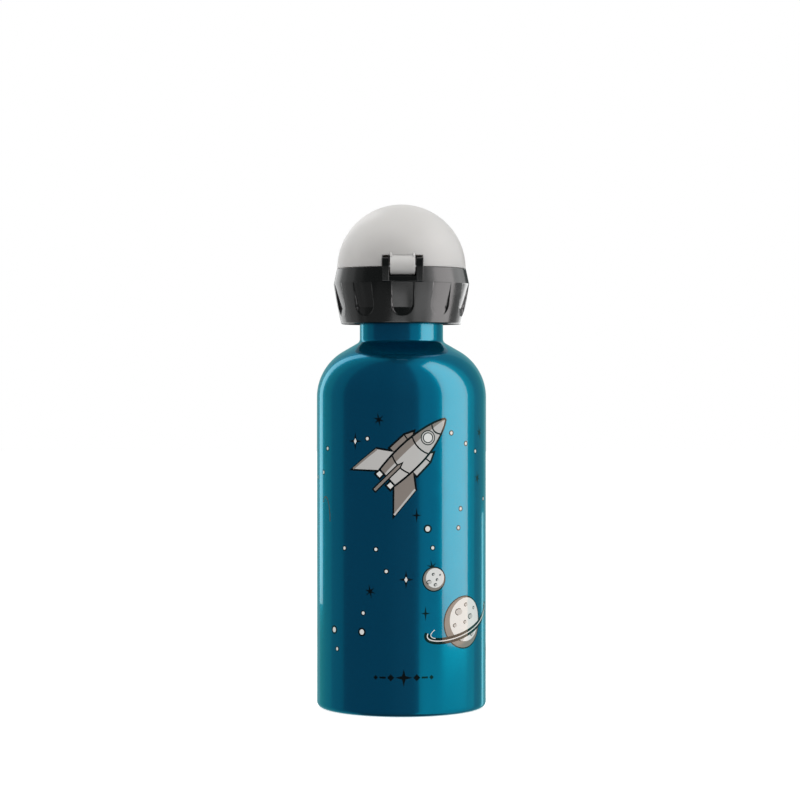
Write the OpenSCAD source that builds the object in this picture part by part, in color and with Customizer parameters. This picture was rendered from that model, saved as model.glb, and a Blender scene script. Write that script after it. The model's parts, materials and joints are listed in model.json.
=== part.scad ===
// Kids' water bottle: a thin-walled metal bottle closed by a screw cap with a
// grip collar, a push-pull spout and a domed cover that flips open on a hinge.
// Origin at the centre of the base, +Z up, the hinge faces -Y. Millimetres.

/* [Bottle] */
// Outer radius of the bottle's barrel
body_r = 32; // [30:0.5:34]
// Height at which the barrel ends and the shoulder begins
barrel_top = 116.9; // [100:0.1:118]
// Wall thickness of the bottle
wall = 0.8; // [0.6:0.1:1.2]
// Radius of the rolled edge round the base
base_edge_r = 2; // [1:0.1:2.5]
// Height of the hollow pressed into the base
base_dome_h = 3; // [1:0.5:4]
// Outer radius of the neck
neck_r = 15.75; // [15.75:0.05:16.2]

/* [Thread] */
// Rise of the cap for one full turn
pitch = 4; // [3.5:0.1:4]
// Number of turns in each thread ridge
thread_turns = 1.25; // [1:0.05:1.25]
// Running gap between a ridge's crest and the facing wall
thread_gap = 0.3; // [0.25:0.05:0.4]

/* [Cap] */
// Radius of the collar at its bottom edge
collar_foot_r = 22.7; // [22.6:0.1:23.2]
// Radius of the collar at its widest edge
waist_r = 25.6; // [25.2:0.1:26]
// Radius of the collar at its rim, under the dome
rim_r = 24.4; // [24.3:0.1:24.6]
// Number of finger scallops round the collar
scallops = 10; // [6:1:10]
// Width of one scallop
scallop_w = 8.2; // [6:0.2:9]
// Depth of a scallop at its deepest point
scallop_depth = 0.95; // [0.8:0.05:1.5]

/* [Dome] */
// Outer radius of the dome
dome_r = 24.3; // [24:0.1:24.3]
// Wall thickness of the dome
dome_wall = 1.6; // [1.2:0.1:1.8]

/* [Spout] */
// Travel of the mouthpiece from shut to open
spout_travel = 5.5; // [4:0.5:5.5]
// Radius of the drinking outlet
outlet_r = 2.4; // [2:0.1:2.6]

/* [Hinge] */
// Radius of the hinge pin
pin_r = 1; // [0.8:0.05:1.1]
// Running gap between the hinge pin and the dome's knuckle
pin_gap = 0.05; // [0.02:0.01:0.1]

/* [Hidden] */

metal_blue = "#006b8c";
dark_plastic = "#2b2b2d";
frosted = "#d9d7d5";
silicone = "#e8e8e4";

fine = 144;
medium = 48;
eps = 0.01;

// bottle
base_recess_r = 27;
base_floor = 1;
base_corner_r = 1.2;
shoulder_r = 20;
shoulder_angle = 60;
shoulder_steps = 12;
neck_fillet = 2;
lip_top = 154.8;
lip_edge = 0.8;
lip_chamfer = 0.5;
bore_r = neck_r - 1.65;
shoulder_c = [body_r - shoulder_r, barrel_top];
slope_dir = [-sin(shoulder_angle), cos(shoulder_angle)];
slope_out = [cos(shoulder_angle), sin(shoulder_angle)];
slope_start = shoulder_c + shoulder_r * slope_out;
fillet_line = slope_start + neck_fillet * slope_out;
fillet_run = (fillet_line[0] - neck_r - neck_fillet) / sin(shoulder_angle);
fillet_c = fillet_line + fillet_run * slope_dir;
inner_line = slope_start - wall * slope_out;
inner_run = (inner_line[0] - bore_r) / sin(shoulder_angle);
inner_corner = inner_line + inner_run * slope_dir;
base_dome_r = (base_recess_r * base_recess_r + base_dome_h * base_dome_h) / (2 * base_dome_h);
base_dome_c = [0, base_dome_h - base_dome_r];

// thread
thread_start = 144.3;
thread_steps = 32;
ridge_foot = 0.35;
ridge_half_foot = 0.9;
ridge_half_crest = 0.4;
ridge_fade = 4;
plug_r = 12.6;
female_crest_r = plug_r + 2 * thread_gap;
male_crest_r = bore_r - thread_gap;

// gasket
gasket_h = 1.8;
gasket_r = 15.7;
gasket_gap = 0.35;
seat_r = 13;
seat_z = lip_top + gasket_h;

// collar
collar_foot_z = 144.5;
waist_z = 159.7;
rim_z = 165.3;
foot_edge = 0.5;
skirt_wall = 2;
rim_inner_r = 22.5;
ledge_r = 20;
ledge_low = 159;
ledge_top = 161;
collar_slope = (waist_r - collar_foot_r) / (waist_z - collar_foot_z);
scallop_low = 147.3;
scallop_floor_end = 150.3;
scallop_top = 159.6;
scallop_step = 0.1;
scallop_back = 15;

// core
plug_low = 140.8;
plug_bore = 10.8;
flange_r = 17;
deck_r = 22.3;
deck_top = 163;
ceiling_z = 160.6;
cellar_r = 14.6;
tower_r = 8;
tower_bore = 5.6;
bead_r = 8.7;
groove_r = 7.2;
bead_h = 0.8;
groove_h = 1.6;
stop_gap = 0.2;
tower_foot = 0.6;
o_ring_major = 8;
o_ring_minor = 0.75;

// hinge
hinge_y = -23.4;
hinge_z = 165.8;
lug_in = 5;
lug_out = 7.75;
lug_r = 3;
lug_steps = 16;
lug_foot_z = 159.8;
lug_front_y = -25.2;
bridge_back_y = -19;
bridge_top = 161.8;
knuckle_r = 3.5;
knuckle_half = 4.65;
knuckle_room = 3.85;
notch_half = 7.95;
notch_deep = 12;
notch_low = 159.6;
notch_top = 169.6;
pin_half = 7.5;
lug_hole_r = pin_r + 0.02;

// dome
dome_z = 165.45;
web_front_y = -25.2;
web_back_y = -21.6;
web_top = 172;
cheek = 0.8;
cheek_top = 170;
cheek_front_y = -26;
dome_inner_r = dome_r - dome_wall;
bury = 0.3;
tab_half = 6;
tab_r = 26.6;
tab_low = 165.7;
tab_top = 167.5;
tongue_in = 21.2;
tongue_out = 22.2;
tongue_low = 163.8;
tongue_root = 2;

// spout
skirt_r = 10.4;
skirt_bore = 9;
skirt_low = 163.8;
lip_r = 8.3;
lip_h = 1.2;
roof_low = 174.4;
roof_top = 175.6;
pull_r = 11.4;
pull_low = 173;
pull_edge = 0.8;
nozzle_r = 5.2;
nozzle_bore = 3.6;
nozzle_floor = 178;
nozzle_top = 179.4;
tip_r = 6.6;
tip_top = 180.2;
tip_hole = 3;
tip_round = 1.2;

groove_low = skirt_low + lip_h + spout_travel + stop_gap + bead_h;
groove_top = groove_low + groove_h;
tower_top = groove_top + bead_h;

// stem, its seal and the vent
stem_low = 161.8;
stem_ring_top = 164.3;
stem_ring_bore = 4.8;
spoke_w = 1.2;
spoke_h = 1.6;
hub_r = 1.8;
stem_r = 1.4;
stem_neck_r = 1.1;
stem_top = 178.6;
seal_r = 2.1;
seal_low = 176.4;
seal_top = 179.2;
vent_y = 13;
vent_hole_r = 1.35;
vent_body_r = 1.3;
vent_disc_r = 2;
vent_disc_h = 0.7;
vent_low = 159.8;
vent_bore_r = 0.7;
vent_bore_low = 160.6;

// Points of an arc about c, from angle a0 to angle a1.
function arc(c, r, a0, a1, n = 8) =
    [for (i = [0 : n]) let (a = a0 + (a1 - a0) * i / n) c + r * [cos(a), sin(a)]];

// One right-hand helical ridge with faded ends: foot_r lies inside the wall it
// grows from, crest_r is its edge, and it starts at angle a0 and height z0.
module ridge(foot_r, crest_r, z0, a0) {
    n = round(thread_turns * thread_steps);
    function grow(i) = min(1, (min(i, n - i) + 0.6) / ridge_fade);
    function crest(i) = foot_r + (crest_r - foot_r) * grow(i);
    function ring(i) = let (
        a = a0 + 360 * i / thread_steps,
        z = z0 + pitch * i / thread_steps,
        w = ridge_half_foot * grow(i),
        c = ridge_half_crest * grow(i)
    ) [for (p = [[foot_r, -w], [crest(i), -c], [crest(i), c], [foot_r, w]])
        [p[0] * cos(a), p[0] * sin(a), z + p[1]]];
    points = [for (i = [0 : n]) each ring(i)];
    sides = [for (i = [0 : n - 1], k = [0 : 3])
        let (a = 4 * i + k, b = 4 * i + (k + 1) % 4) each [[a, b, b + 4], [a, b + 4, a + 4]]];
    ends = [[0, 3, 2], [0, 2, 1], [4 * n, 4 * n + 1, 4 * n + 2], [4 * n, 4 * n + 2, 4 * n + 3]];
    faces = concat(sides, ends);
    out = crest_r > foot_r;
    polyhedron(points, out ? faces : [for (f = faces) [f[2], f[1], f[0]]]);
}

// Half-section of the bottle, without its thread.
module bottle_outline() {
    outside = concat(
        arc(base_dome_c, base_dome_r, 90, 90 - asin(base_recess_r / base_dome_r), 6),
        arc([body_r - base_edge_r, base_edge_r], base_edge_r, -90, 0, 6),
        arc(shoulder_c, shoulder_r, 0, shoulder_angle, shoulder_steps),
        arc(fillet_c, neck_fillet, shoulder_angle - 180, -180, 5),
        arc([neck_r - lip_edge, lip_top - lip_edge], lip_edge, 0, 90, 4)
    );
    inner_r = body_r - wall;
    inside = concat(
        [[bore_r + lip_chamfer, lip_top], [bore_r, lip_top - lip_chamfer], inner_corner],
        arc(shoulder_c, shoulder_r - wall, shoulder_angle, 0, shoulder_steps),
        arc([inner_r - base_corner_r, base_floor + base_corner_r], base_corner_r, 0, -90, 5),
        arc(base_dome_c, base_dome_r + base_floor, 90 - asin(base_recess_r / base_dome_r), 90, 6)
    );
    polygon(concat(outside, inside));
}

// The drawn metal bottle with its threaded neck.
module bottle_shell() {
    color(metal_blue) union() {
        rotate_extrude($fn = fine) bottle_outline();
        ridge(bore_r + ridge_foot, female_crest_r, thread_start, 0);
    }
}

// Flat silicone ring between the bottle's lip and the cap.
module neck_gasket() {
    color(silicone) translate([0, 0, lip_top]) rotate_extrude($fn = fine)
        translate([seat_r + gasket_gap, 0])
            square([gasket_r - seat_r - gasket_gap, gasket_h]);
}

// Half-section of the cap's core: hollow plug, flange, deck and spout tower.
module core_outline() {
    polygon([
        [plug_bore, plug_low],
        [plug_r, plug_low],
        [plug_r, lip_top - 1],
        [seat_r, lip_top - lip_chamfer],
        [seat_r, seat_z],
        [flange_r, seat_z],
        [flange_r, ledge_top],
        [deck_r, ledge_top],
        [deck_r, deck_top],
        [tower_r + tower_foot, deck_top],
        [tower_r, deck_top + tower_foot],
        [tower_r, groove_low - bead_h],
        [bead_r, groove_low - bead_h],
        [bead_r, groove_low],
        [groove_r, groove_low],
        [groove_r, groove_top],
        [bead_r, groove_top],
        [bead_r - 0.3, tower_top],
        [tower_bore, tower_top],
        [tower_bore, ceiling_z],
        [cellar_r, ceiling_z],
        [cellar_r, ceiling_z - bead_h],
        [plug_bore, seat_z]
    ]);
}

// Side view of one hinge lug, drawn in (y, z).
module lug_outline() {
    foot = [lug_front_y - hinge_y, lug_foot_z - hinge_z];
    reach = norm(foot);
    touch = atan2(foot[1], foot[0]) + 360 - acos(lug_r / reach);
    translate([hinge_y, hinge_z])
        polygon(concat([[lug_r, foot[1]]], arc([0, 0], lug_r, 0, touch, lug_steps), [foot]));
}

// A bar along X with its section drawn in (y, z).
module along_x(x0, x1) {
    translate([x0, 0, 0]) rotate([90, 0, 90]) linear_extrude(x1 - x0) children();
}

// Round bar on the hinge axis.
module on_hinge(r, half) {
    translate([-half, hinge_y, hinge_z]) rotate([0, 90, 0])
        cylinder(r = r, h = 2 * half, $fn = medium);
}

// Screw plug, deck, spout tower and hinge lugs, in one moulding.
module cap_core() {
    color(dark_plastic) difference() {
        union() {
            rotate_extrude($fn = fine) core_outline();
            ridge(plug_r - ridge_foot, male_crest_r, thread_start, 180);
            translate([-lug_out, lug_front_y, lug_foot_z])
                cube([2 * lug_out, bridge_back_y - lug_front_y, bridge_top - lug_foot_z]);
            along_x(-lug_out, -lug_in) lug_outline();
            along_x(lug_in, lug_out) lug_outline();
        }
        on_hinge(knuckle_room, lug_in);
        on_hinge(lug_hole_r, lug_out + 1);
        translate([0, vent_y, ceiling_z - 1])
            cylinder(r = vent_hole_r, h = deck_top - ceiling_z + 2, $fn = medium);
    }
}

// Radius of the plain lower cone at height z.
function cone_r(z) = collar_foot_r + collar_slope * (z - collar_foot_z);

// Cutter for one scallop: a U seen from the front, with a floor that runs round the collar.
module scallop() {
    half = scallop_w / 2;
    past = waist_r + 5;
    intersection() {
        translate([0, -scallop_back, 0]) rotate([90, 0, 0]) linear_extrude(past) union() {
            translate([0, scallop_low + half]) circle(r = half, $fn = medium);
            translate([-half, scallop_low + half]) square([scallop_w, waist_z - scallop_low]);
        }
        rotate_extrude($fn = fine) polygon([
            [cone_r(scallop_top) - scallop_step, scallop_top],
            [cone_r(scallop_floor_end) - scallop_depth, scallop_floor_end],
            [cone_r(scallop_low), scallop_low],
            [past, scallop_low],
            [past, scallop_top]
        ]);
    }
}

// Outer grip collar with its finger scallops and the notch for the hinge.
module grip_collar() {
    color(dark_plastic) difference() {
        rotate_extrude($fn = fine) polygon([
            [collar_foot_r - skirt_wall, collar_foot_z],
            [collar_foot_r - foot_edge, collar_foot_z],
            [collar_foot_r + collar_slope * foot_edge, collar_foot_z + foot_edge],
            [waist_r, waist_z],
            [rim_r, rim_z],
            [rim_inner_r, rim_z],
            [rim_inner_r, ledge_top],
            [ledge_r, ledge_top],
            [ledge_r, ledge_low],
            [waist_r - skirt_wall, ledge_low - 1]
        ]);
        for (i = [0 : scallops - 1]) rotate([0, 0, i * 360 / scallops]) scallop();
        translate([-notch_half, -waist_r - 1, notch_low])
            cube([2 * notch_half, notch_deep, rim_z - notch_low + 1]);
    }
}

// Steel pin through both lugs and the dome's knuckle.
module hinge_pin() {
    color("silver") on_hinge(pin_r, pin_half);
}

// Spoked ring pressed into the tower, with the pin that plugs the outlet.
module valve_stem() {
    color(dark_plastic) union() {
        translate([0, 0, stem_low]) difference() {
            cylinder(r = tower_bore, h = stem_ring_top - stem_low, $fn = medium);
            translate([0, 0, -1])
                cylinder(r = stem_ring_bore, h = stem_ring_top - stem_low + 2, $fn = medium);
        }
        for (a = [30, 150, 270]) rotate([0, 0, a]) translate([0, -spoke_w / 2, stem_low])
            cube([stem_ring_bore + 0.4, spoke_w, spoke_h]);
        translate([0, 0, stem_low]) cylinder(r = hub_r, h = stem_ring_top - stem_low, $fn = medium);
        translate([0, 0, stem_low]) cylinder(r = stem_r, h = seal_low - stem_low, $fn = medium);
        translate([0, 0, stem_low]) cylinder(r = stem_neck_r, h = stem_top - stem_low, $fn = medium);
    }
}

// Soft cap on the stem that shuts the outlet.
module stem_seal() {
    color(silicone) translate([0, 0, seal_low]) difference() {
        union() {
            cylinder(r = seal_r, h = seal_top - seal_low - 0.5, $fn = medium);
            translate([0, 0, seal_top - seal_low - 0.5])
                cylinder(r1 = seal_r, r2 = seal_r - 0.5, h = 0.5, $fn = medium);
        }
        translate([0, 0, -1]) cylinder(r = stem_neck_r, h = stem_top - seal_low + 1, $fn = medium);
    }
}

// O-ring in the groove round the tower.
module tower_o_ring() {
    color("black") translate([0, 0, (groove_low + groove_top) / 2])
        rotate_extrude($fn = fine) translate([o_ring_major, 0])
            circle(r = o_ring_minor, $fn = 24);
}

// Duckbill valve in the deck that lets air in behind the water.
module vent_valve() {
    color(silicone) translate([0, vent_y, 0]) difference() {
        union() {
            translate([0, 0, deck_top]) cylinder(r = vent_disc_r, h = vent_disc_h, $fn = medium);
            translate([0, 0, vent_low])
                cylinder(r = vent_body_r, h = deck_top - vent_low + eps, $fn = medium);
        }
        translate([0, 0, vent_bore_low]) cylinder(r = vent_bore_r, h = 5, $fn = medium);
    }
}

// Push-pull mouthpiece: a skirt over the tower and a nozzle with the outlet.
module mouthpiece() {
    color(frosted) rotate_extrude($fn = fine) polygon(concat(
        [
            [lip_r, skirt_low],
            [skirt_r - 0.4, skirt_low],
            [skirt_r, skirt_low + 0.4],
            [skirt_r, pull_low]
        ],
        arc([pull_r - pull_edge, pull_low + pull_edge], pull_edge, -90, 0, 4),
        arc([pull_r - pull_edge, roof_top - pull_edge], pull_edge, 0, 90, 4),
        [
            [nozzle_r, roof_top],
            [nozzle_r, nozzle_top],
            [outlet_r, nozzle_top],
            [outlet_r, nozzle_floor],
            [nozzle_bore, nozzle_floor],
            [nozzle_bore, roof_low],
            [skirt_bore, roof_low],
            [skirt_bore, skirt_low + lip_h],
            [lip_r, skirt_low + lip_h]
        ]
    ));
}

// Soft sleeve round the nozzle.
module bite_tip() {
    color(silicone) rotate_extrude($fn = fine) polygon(concat(
        [[nozzle_r, roof_top], [tip_r - 0.3, roof_top], [tip_r - 0.3, roof_top + 1]],
        arc([tip_r - tip_round, tip_top - tip_round], tip_round, 0, 90, 5),
        [[tip_hole, tip_top], [tip_hole, nozzle_top], [nozzle_r, nozzle_top]]
    ));
}

// The part of its children behind the dome, as wide as the thumb tab.
module back_sector() {
    intersection() {
        children();
        translate([-tab_half, 0, tongue_low - 1]) cube([2 * tab_half, tab_r + 1, dome_r]);
    }
}

// Domed cover with its hinge knuckle in front and a thumb tab at the back.
module dome_cover() {
    color(frosted) difference() {
        union() {
            difference() {
                rotate_extrude($fn = fine) translate([0, dome_z]) difference() {
                    intersection() {
                        circle(r = dome_r, $fn = fine);
                        square([dome_r, dome_r]);
                    }
                    circle(r = dome_inner_r, $fn = fine);
                }
                translate([-notch_half, -dome_r - 1, dome_z - 1])
                    cube([2 * notch_half, notch_deep, notch_top - dome_z + 1]);
            }
            on_hinge(knuckle_r, knuckle_half);
            translate([-knuckle_half, web_front_y, hinge_z])
                cube([2 * knuckle_half, web_back_y - web_front_y, web_top - hinge_z]);
            for (x = [-knuckle_half, knuckle_half - cheek])
                translate([x, cheek_front_y, hinge_z])
                    cube([cheek, web_back_y - cheek_front_y, cheek_top - hinge_z]);
            back_sector() rotate_extrude($fn = fine) polygon([
                [tongue_in, tongue_low],
                [tongue_out, tongue_low],
                [tongue_out, dome_z],
                [dome_inner_r + bury, dome_z],
                [dome_inner_r + bury, dome_z + tongue_root],
                [tongue_in, dome_z + tongue_root / 2]
            ]);
            back_sector() rotate_extrude($fn = fine) translate([dome_inner_r + bury, tab_low])
                square([tab_r - dome_inner_r - bury, tab_top - tab_low]);
        }
        on_hinge(pin_r + pin_gap, knuckle_half + 1);
    }
}

bottle_shell();
neck_gasket();
cap_core();
grip_collar();
hinge_pin();
valve_stem();
stem_seal();
tower_o_ring();
vent_valve();
mouthpiece();
bite_tip();
dome_cover();
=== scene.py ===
"""Kids' water bottle: looks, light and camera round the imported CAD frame."""
import json
import math
import random

import bmesh
import bpy
from mathutils import Matrix, Vector

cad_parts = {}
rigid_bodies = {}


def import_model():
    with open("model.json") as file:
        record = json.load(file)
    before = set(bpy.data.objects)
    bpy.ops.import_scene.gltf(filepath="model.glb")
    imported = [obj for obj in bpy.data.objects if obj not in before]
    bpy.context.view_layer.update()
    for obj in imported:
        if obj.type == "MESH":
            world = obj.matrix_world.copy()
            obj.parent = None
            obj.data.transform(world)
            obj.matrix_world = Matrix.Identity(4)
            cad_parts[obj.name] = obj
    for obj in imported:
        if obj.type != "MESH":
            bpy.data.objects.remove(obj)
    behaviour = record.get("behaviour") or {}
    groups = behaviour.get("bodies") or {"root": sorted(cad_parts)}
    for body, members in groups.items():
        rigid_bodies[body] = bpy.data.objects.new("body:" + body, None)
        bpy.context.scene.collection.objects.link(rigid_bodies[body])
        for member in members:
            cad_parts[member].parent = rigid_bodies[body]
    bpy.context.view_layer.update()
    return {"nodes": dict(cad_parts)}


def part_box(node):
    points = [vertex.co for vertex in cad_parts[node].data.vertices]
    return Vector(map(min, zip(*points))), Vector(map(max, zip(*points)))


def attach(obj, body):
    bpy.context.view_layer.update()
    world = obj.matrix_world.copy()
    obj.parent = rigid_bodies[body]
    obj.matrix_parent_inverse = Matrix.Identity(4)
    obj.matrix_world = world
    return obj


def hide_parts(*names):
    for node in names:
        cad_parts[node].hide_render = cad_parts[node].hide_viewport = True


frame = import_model()

MM = 0.001

# ---------------------------------------------------------------- sizes, mm
# Driving sizes come from the frame; the rest are details of the same parts.


def node_box(node):
    """Lowest and highest corner of a CAD node, in mm."""
    low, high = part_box(node)
    return Vector(low) / MM, Vector(high) / MM


bottle_high = node_box("bottle_shell")[1]
collar_low, collar_high = node_box("grip_collar")
pin_low, pin_high = node_box("hinge_pin")
mouth_low, mouth_high = node_box("mouthpiece")
tip_low, tip_high = node_box("bite_tip")
dome_high = node_box("dome_cover")[1]

BODY_R = bottle_high.x
LIP_TOP = bottle_high.z
WALL = 0.8
BARREL_TOP = 116.9
SHOULDER_R = 20.0
SHOULDER_ANGLE = 60.0
NECK_R = 15.75
BORE_R = 14.1
NECK_FILLET = 2.0
LIP_R = 0.8
LIP_CHAMFER = 0.5
BASE_EDGE_R = 2.0
BASE_RECESS_R = 27.0
BASE_DOME_H = 3.0
BASE_FLOOR = 1.0

WAIST_R = collar_high.x
FOOT_Z = collar_low.z
RIM_Z = collar_high.z
WAIST_Z = 159.7
FOOT_R = 22.7
RIM_R = 24.4
RIM_INNER_R = 22.5
SKIRT_WALL = 2.0
SCALLOPS = 10
SCALLOP_W = 8.2
SCALLOP_LOW = 147.3
SCALLOP_FLOOR_END = 150.3
SCALLOP_DEPTH = 0.95
SCALLOP_TOP = 159.6
SCALLOP_STEP = 0.1
SCALLOP_WALL_SLOPE = 3.0
NOTCH_HALF = 7.65
COLLAR_BULGE = 0.2
COLLAR_COLUMNS = 720
COLLAR_NOTCH_EDGE = math.radians(18.5)

HINGE_Y = (pin_low.y + pin_high.y) / 2
HINGE_Z = (pin_low.z + pin_high.z) / 2
LUG_IN = 5.0
LUG_OUT = 7.6
LUG_R = 3.0
KNUCKLE_R = 3.5
KNUCKLE_HALF = 4.65

DOME_Z = 165.45
DOME_R = dome_high.z - DOME_Z
DOME_WALL = 1.6
NOTCH_TOP = 169.6
DOME_COLUMNS = 288
WARP_LEAST_R = 20.0
TAB_HALF = 6.0

THREAD_START = 144.3
THREAD_PITCH = 4.0
THREAD_TURNS = 1.25
THREAD_ROOT = 0.35
NECK_CREST_R = 13.2
PLUG_CREST_R = 13.8
PLUG_LOW = 140.8
PLUG_BORE_R = 10.8
PLUG_R = 12.6
PLUG_TOP_R = 13.0
SEAT_Z = 156.6
FLANGE_R = 17.0
LEDGE_LOW = 159.0
LEDGE_TOP = 161.0
LEDGE_R = 20.0
LEDGE_OUT_R = 23.5
DECK_R = 22.3
DECK_TOP = 163.0
CEILING = 160.6
CELLAR_R = 14.6
TOWER_R = 8.0
TOWER_HEAD_R = 8.7
TOWER_BORE_R = 5.6
GROOVE_UP = 7.7
GROOVE_R = 7.2
GROOVE_H = 1.6
LUG_FOOT = 159.8
LUG_FRONT = -25.2
LUG_BACK = -19.0

LONG_STRETCH = 2.0
HOLD_MARGIN = 0.25
ON_AXIS = 1e-6
RELIEF_M = 0.0001


# ---------------------------------------------------------------- mesh tools


def arc(centre_r, centre_z, radius, start, end, steps):
    """Points of an arc in (r, z), from angle start to angle end in degrees."""
    points = []
    for i in range(steps + 1):
        angle = math.radians(start + (end - start) * i / steps)
        points.append((centre_r + radius * math.cos(angle), centre_z + radius * math.sin(angle)))
    return points


def rounded(corners, steps=4):
    """Outline from (a, b, radius) corners, each rounded by its own radius."""
    outline = []
    count = len(corners)
    for i, (a, b, radius) in enumerate(corners):
        here = Vector((a, b))
        if not radius:
            outline.append((a, b))
            continue
        back = (Vector(corners[i - 1][:2]) - here).normalized()
        ahead = (Vector(corners[(i + 1) % count][:2]) - here).normalized()
        half = back.angle(ahead) / 2
        reach = radius / math.tan(half)
        centre = here + (back + ahead).normalized() * radius / math.sin(half)
        first = here + back * reach - centre
        last = here + ahead * reach - centre
        turn = first.angle_signed(last)
        for k in range(steps + 1):
            spun = first.copy()
            spun.rotate(Matrix.Rotation(-turn * k / steps, 2))
            outline.append(tuple(centre + spun))
    return outline


def held(outline):
    """The closed outline with extra points near both ends of each long stretch."""
    points = []
    for a, b in zip(outline, outline[1:] + outline[:1]):
        a, b = Vector(a), Vector(b)
        points.append(tuple(a))
        length = (b - a).length
        if length > LONG_STRETCH:
            points.append(tuple(a.lerp(b, HOLD_MARGIN / length)))
            points.append(tuple(b.lerp(a, HOLD_MARGIN / length)))
    return points


def finish_mesh(name, vertices, faces, material, sharp=40.0):
    """Object in metres from vertices in mm, shaded smooth up to an angle."""
    mesh = bpy.data.meshes.new(name)
    mesh.from_pydata([Vector(v) * MM for v in vertices], [], faces)
    mesh.update()
    for polygon in mesh.polygons:
        polygon.use_smooth = True
    mesh.set_sharp_from_angle(angle=math.radians(sharp))
    mesh.materials.append(material)
    piece = bpy.data.objects.new(name, mesh)
    bpy.context.scene.collection.objects.link(piece)
    return piece


def lathe(name, outline, material, steps=192, sharp=40.0):
    """Solid of revolution about Z from a closed (r, z) outline in mm."""
    points = held(outline)
    rings = []
    vertices = []
    for r, z in points:
        if r < ON_AXIS:
            rings.append([len(vertices)] * steps)
            vertices.append((0, 0, z))
            continue
        rings.append(list(range(len(vertices), len(vertices) + steps)))
        for k in range(steps):
            angle = 2 * math.pi * k / steps
            vertices.append((r * math.cos(angle), r * math.sin(angle), z))
    faces = []
    for i, ring in enumerate(rings):
        above = rings[(i + 1) % len(rings)]
        if points[i][0] < ON_AXIS and points[(i + 1) % len(points)][0] < ON_AXIS:
            continue
        for k in range(steps):
            n = (k + 1) % steps
            face = []
            for v in (ring[k], ring[n], above[n], above[k]):
                if v not in face:
                    face.append(v)
            if len(face) > 2:
                faces.append(face)
    return finish_mesh(name, vertices, outward(vertices, faces), material, sharp)


def outward(vertices, faces):
    """The faces of a closed mesh, turned round if they face inward."""
    volume = 0.0
    for face in faces:
        a = Vector(vertices[face[0]])
        for i in range(1, len(face) - 1):
            volume += a.dot(Vector(vertices[face[i]]).cross(Vector(vertices[face[i + 1]])))
    return faces if volume > 0 else [list(reversed(face)) for face in faces]


def shell(name, outer, inner, faces, material, sharp=40.0):
    """Closed wall between two point sets that share the same faces."""
    count = len(outer)
    edges = {}
    for face in faces:
        for a, b in zip(face, face[1:] + face[:1]):
            edges[(a, b)] = edges.get((a, b), 0) + 1
    closed = [list(face) for face in faces]
    closed += [[v + count for v in reversed(face)] for face in faces]
    for a, b in edges:
        if (b, a) not in edges:
            closed.append([b, a, a + count, b + count])
    vertices = list(outer) + list(inner)
    return finish_mesh(name, vertices, outward(vertices, closed), material, sharp)


def prism(name, outline, x0, x1, material):
    """Bar along X with a closed (y, z) outline, both in mm."""
    count = len(outline)
    vertices = [(x0, y, z) for y, z in outline] + [(x1, y, z) for y, z in outline]
    faces = [list(range(count)), [count + i for i in reversed(range(count))]]
    for i in range(count):
        n = (i + 1) % count
        faces.append([i, i + count, n + count, n])
    return finish_mesh(name, vertices, outward(vertices, faces), material)


def soften(piece, width, segments=3, limit=40.0):
    """Rounds a piece's sharp edges by width mm."""
    bevel = piece.modifiers.new("round edges", "BEVEL")
    bevel.width = width * MM
    bevel.segments = segments
    bevel.limit_method = "ANGLE"
    bevel.angle_limit = math.radians(limit)
    bevel.harden_normals = True
    bevel.use_clamp_overlap = True
    return piece


def ridge(name, foot_r, crest_r, material, start=0.0):
    """Right-hand helical thread ridge with faded ends, from angle start in degrees."""
    per_turn = 96
    count = round(THREAD_TURNS * per_turn)
    fade = 12
    least = 1.8
    half_foot, half_edge, half_crest = 0.9, 0.5, 0.35
    vertices = []
    faces = []
    for i in range(count + 1):
        grow = min(1.0, (min(i, count - i) + least) / fade)
        angle = math.radians(start + 360 * i / per_turn)
        middle = THREAD_START + THREAD_PITCH * i / per_turn
        crest = foot_r + (crest_r - foot_r) * grow
        edge = crest - 0.15 * (crest_r - foot_r) * grow
        section = [
            (foot_r, -half_foot), (edge, -half_edge), (crest, -half_crest),
            (crest, half_crest), (edge, half_edge), (foot_r, half_foot),
        ]
        for r, rise in section:
            vertices.append((r * math.cos(angle), r * math.sin(angle), middle + rise * grow))
    size = len(section)
    for i in range(count):
        for k in range(size):
            n = (k + 1) % size
            faces.append([size * i + k, size * (i + 1) + k, size * (i + 1) + n, size * i + n])
    faces.append(list(range(size)))
    faces.append([size * count + k for k in reversed(range(size))])
    return finish_mesh(name, vertices, outward(vertices, faces), material, 50.0)


# ---------------------------------------------------------------- materials


def new_material(name):
    """Material with its Principled shader, and a maker of further nodes."""
    material = bpy.data.materials.new(name)
    material.use_nodes = True
    tree = material.node_tree
    shader = tree.nodes["Principled BSDF"]

    def node(kind, **inputs):
        made = tree.nodes.new(kind)
        for key, value in inputs.items():
            made.inputs[key.replace("_", " ")].default_value = value
        return made

    return material, shader, node, tree.links.new


def fine_bump(shader, node, link, scale, strength):
    """Fine noise relief on a shader, with its scale in waves per metre."""
    place = node("ShaderNodeTexCoord")
    noise = node("ShaderNodeTexNoise", Scale=scale, Detail=2.0)
    bump = node("ShaderNodeBump", Strength=strength, Distance=RELIEF_M)
    link(place.outputs["Object"], noise.inputs["Vector"])
    link(noise.outputs["Fac"], bump.inputs["Height"])
    link(bump.outputs["Normal"], shader.inputs["Normal"])
    return place


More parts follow.
